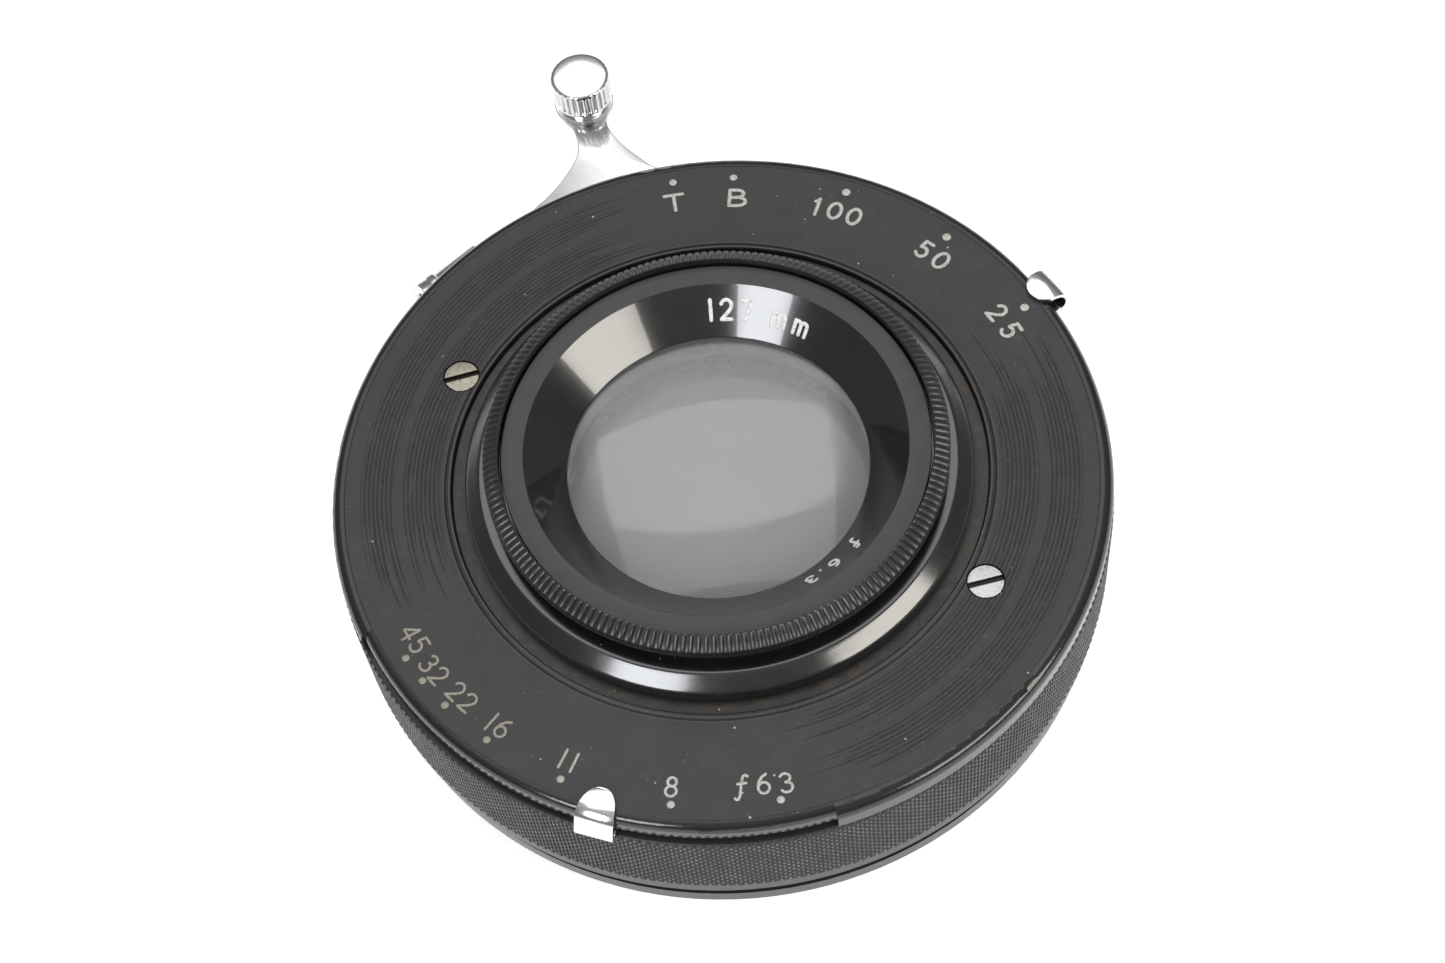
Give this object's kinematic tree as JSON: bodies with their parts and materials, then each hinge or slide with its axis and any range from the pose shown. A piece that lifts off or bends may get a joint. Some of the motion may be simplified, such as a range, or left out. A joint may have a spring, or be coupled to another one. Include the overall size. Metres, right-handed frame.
{
  "type": "camera lens in leaf shutter",
  "caption": "Round large-format lens in a leaf shutter: knurled speed ring, engraved black face, iris pointer, side release lever with knob.",
  "frame": {"origin": "on the optical axis, in the plane of the rear seat that rests on a lens board", "axes": "+Z along the optical axis out of the front glass, +Y towards twelve o'clock of the engraved face"},
  "size_m": [0.0642, 0.0671, 0.0286],
  "materials": {
    "enamel": "satin black enamel",
    "gloss_black": "gloss black enamel",
    "nickel": "polished nickel",
    "steel": "turned steel",
    "brass": "turned brass",
    "blued": "dark blued spring steel",
    "optical_glass": "polished optical glass"
  },
  "bodies": {
    "case": {"rear_plate": "enamel", "case_wall": "enamel", "face_plate": "enamel", "face_screws": "nickel", "rear_screws": "nickel", "case_posts": "steel", "cable_socket": "nickel", "blade_plate": "brass", "spring_post": "steel", "return_spring": "steel", "iris_plate": "brass", "iris_housing": "brass", "iris_cover": "brass", "front_barrel": "enamel", "name_ring": "gloss_black", "front_element": "optical_glass", "front_spacer": "brass", "second_element": "optical_glass", "rear_barrel": "gloss_black", "rear_element_a": "optical_glass", "rear_element_b": "optical_glass", "rear_retaining_ring": "gloss_black"},
    "speed_selector": {"speed_ring": "enamel", "speed_pointer": "nickel", "speed_cam": "steel"},
    "aperture_control": {"iris_ring": "brass", "iris_pointer": "nickel"},
    "release": {"release_lever": "nickel", "release_knob": "nickel", "lever_drive_pin": "steel", "spring_stud": "steel"},
    "blade_drive": {"drive_ring": "steel"},
    "retard_wheel": {"retard_pinion": "brass", "inertia_wheel": "steel"},
    "speed_follower": {"retard_selector": "steel"},
    "iris_leaf_01": {"iris_leaf_01": "blued"},
    "iris_leaf_02": {"iris_leaf_02": "blued"},
    "iris_leaf_03": {"iris_leaf_03": "blued"},
    "iris_leaf_04": {"iris_leaf_04": "blued"},
    "iris_leaf_05": {"iris_leaf_05": "blued"},
    "iris_leaf_06": {"iris_leaf_06": "blued"},
    "iris_leaf_07": {"iris_leaf_07": "blued"},
    "iris_leaf_08": {"iris_leaf_08": "blued"},
    "iris_leaf_09": {"iris_leaf_09": "blued"},
    "iris_leaf_10": {"iris_leaf_10": "blued"},
    "shutter_blade_1": {"shutter_blade_1": "blued"},
    "shutter_blade_2": {"shutter_blade_2": "blued"},
    "shutter_blade_3": {"shutter_blade_3": "blued"}
  },
  "joints": [
    {"name": "speed_ring_turn", "type": "hinge", "parent": "case", "child": "speed_selector", "pos_m": [0, 0, 0.007], "axis": [0, 0, 1], "range_deg": [-1.4, 66.7]},
    {"name": "aperture_turn", "type": "hinge", "parent": "case", "child": "aperture_control", "pos_m": [0, 0, 0.0073], "axis": [0, 0, 1], "range_deg": [-39.3, 26.5]},
    {"name": "release_press", "type": "hinge", "parent": "case", "child": "release", "pos_m": [0, 0, 0.0018], "axis": [0, 0, 1], "range_deg": [-14, 0], "stiffness_Nm_per_rad": 0.04, "springref_deg": 6.88},
    {"name": "drive_ring_turn", "type": "hinge", "parent": "case", "child": "blade_drive", "pos_m": [0, 0, 0.00425], "axis": [0, 0, 1], "range_deg": [-14, 0]},
    {"name": "leaf_01_pivot", "type": "hinge", "parent": "case", "child": "iris_leaf_01", "pos_m": [0.0146, 0, 0.0052], "axis": [0, 0, 1], "range_deg": [-17.81, 12.07]},
    {"name": "leaf_02_pivot", "type": "hinge", "parent": "case", "child": "iris_leaf_02", "pos_m": [0.01181, 0.00858, 0.0052], "axis": [0, 0, 1], "range_deg": [-17.81, 12.07]},
    {"name": "leaf_03_pivot", "type": "hinge", "parent": "case", "child": "iris_leaf_03", "pos_m": [0.00451, 0.01389, 0.0052], "axis": [0, 0, 1], "range_deg": [-17.81, 12.07]},
    {"name": "leaf_04_pivot", "type": "hinge", "parent": "case", "child": "iris_leaf_04", "pos_m": [-0.00451, 0.01389, 0.0052], "axis": [0, 0, 1], "range_deg": [-17.81, 12.07]},
    {"name": "leaf_05_pivot", "type": "hinge", "parent": "case", "child": "iris_leaf_05", "pos_m": [-0.01181, 0.00858, 0.0052], "axis": [0, 0, 1], "range_deg": [-17.81, 12.07]},
    {"name": "leaf_06_pivot", "type": "hinge", "parent": "case", "child": "iris_leaf_06", "pos_m": [-0.0146, 0, 0.0052], "axis": [0, 0, 1], "range_deg": [-17.81, 12.07]},
    {"name": "leaf_07_pivot", "type": "hinge", "parent": "case", "child": "iris_leaf_07", "pos_m": [-0.01181, -0.00858, 0.0052], "axis": [0, 0, 1], "range_deg": [-17.81, 12.07]},
    {"name": "leaf_08_pivot", "type": "hinge", "parent": "case", "child": "iris_leaf_08", "pos_m": [-0.00451, -0.01389, 0.0052], "axis": [0, 0, 1], "range_deg": [-17.81, 12.07]},
    {"name": "leaf_09_pivot", "type": "hinge", "parent": "case", "child": "iris_leaf_09", "pos_m": [0.00451, -0.01389, 0.0052], "axis": [0, 0, 1], "range_deg": [-17.81, 12.07]},
    {"name": "leaf_10_pivot", "type": "hinge", "parent": "case", "child": "iris_leaf_10", "pos_m": [0.01181, -0.00858, 0.0052], "axis": [0, 0, 1], "range_deg": [-17.81, 12.07]},
    {"name": "blade_1_pivot", "type": "hinge", "parent": "case", "child": "shutter_blade_1", "pos_m": [0.01524, 0.0088, 0.0028], "axis": [0, 0, 1], "range_deg": [-0.2, 34.74]},
    {"name": "blade_2_pivot", "type": "hinge", "parent": "case", "child": "shutter_blade_2", "pos_m": [-0.01524, 0.0088, 0.0028], "axis": [0, 0, 1], "range_deg": [-0.2, 34.74]},
    {"name": "blade_3_pivot", "type": "hinge", "parent": "case", "child": "shutter_blade_3", "pos_m": [0, -0.0176, 0.0028], "axis": [0, 0, 1], "range_deg": [-0.2, 34.74]},
    {"name": "retard_pinion_spin", "type": "hinge", "parent": "case", "child": "retard_wheel", "pos_m": [0, -0.0235, 0.0042], "axis": [0, 0, 1], "range_deg": [-1, 106.64]},
    {"name": "selector_pivot", "type": "hinge", "parent": "case", "child": "speed_follower", "pos_m": [-0.01219, 0.01951, 0.0105], "axis": [0, 0, 1], "range_deg": [-0.45, 11.95]}
  ],
  "couplings": [
    {"joint": "drive_ring_turn", "follows": "release_press", "ratio": 1},
    {"joint": "leaf_01_pivot", "follows": "aperture_turn", "ratio": 0.44802},
    {"joint": "leaf_02_pivot", "follows": "aperture_turn", "ratio": 0.44802},
    {"joint": "leaf_03_pivot", "follows": "aperture_turn", "ratio": 0.44802},
    {"joint": "leaf_04_pivot", "follows": "aperture_turn", "ratio": 0.44802},
    {"joint": "leaf_05_pivot", "follows": "aperture_turn", "ratio": 0.44802},
    {"joint": "leaf_06_pivot", "follows": "aperture_turn", "ratio": 0.44802},
    {"joint": "leaf_07_pivot", "follows": "aperture_turn", "ratio": 0.44802},
    {"joint": "leaf_08_pivot", "follows": "aperture_turn", "ratio": 0.44802},
    {"joint": "leaf_09_pivot", "follows": "aperture_turn", "ratio": 0.44802},
    {"joint": "leaf_10_pivot", "follows": "aperture_turn", "ratio": 0.44802},
    {"joint": "blade_1_pivot", "follows": "release_press", "ratio": -2.4671},
    {"joint": "blade_2_pivot", "follows": "release_press", "ratio": -2.4671},
    {"joint": "blade_3_pivot", "follows": "release_press", "ratio": -2.4671},
    {"joint": "retard_pinion_spin", "follows": "release_press", "ratio": -7.5455},
    {"joint": "selector_pivot", "follows": "speed_ring_turn", "ratio": 0.17621}
  ]
}
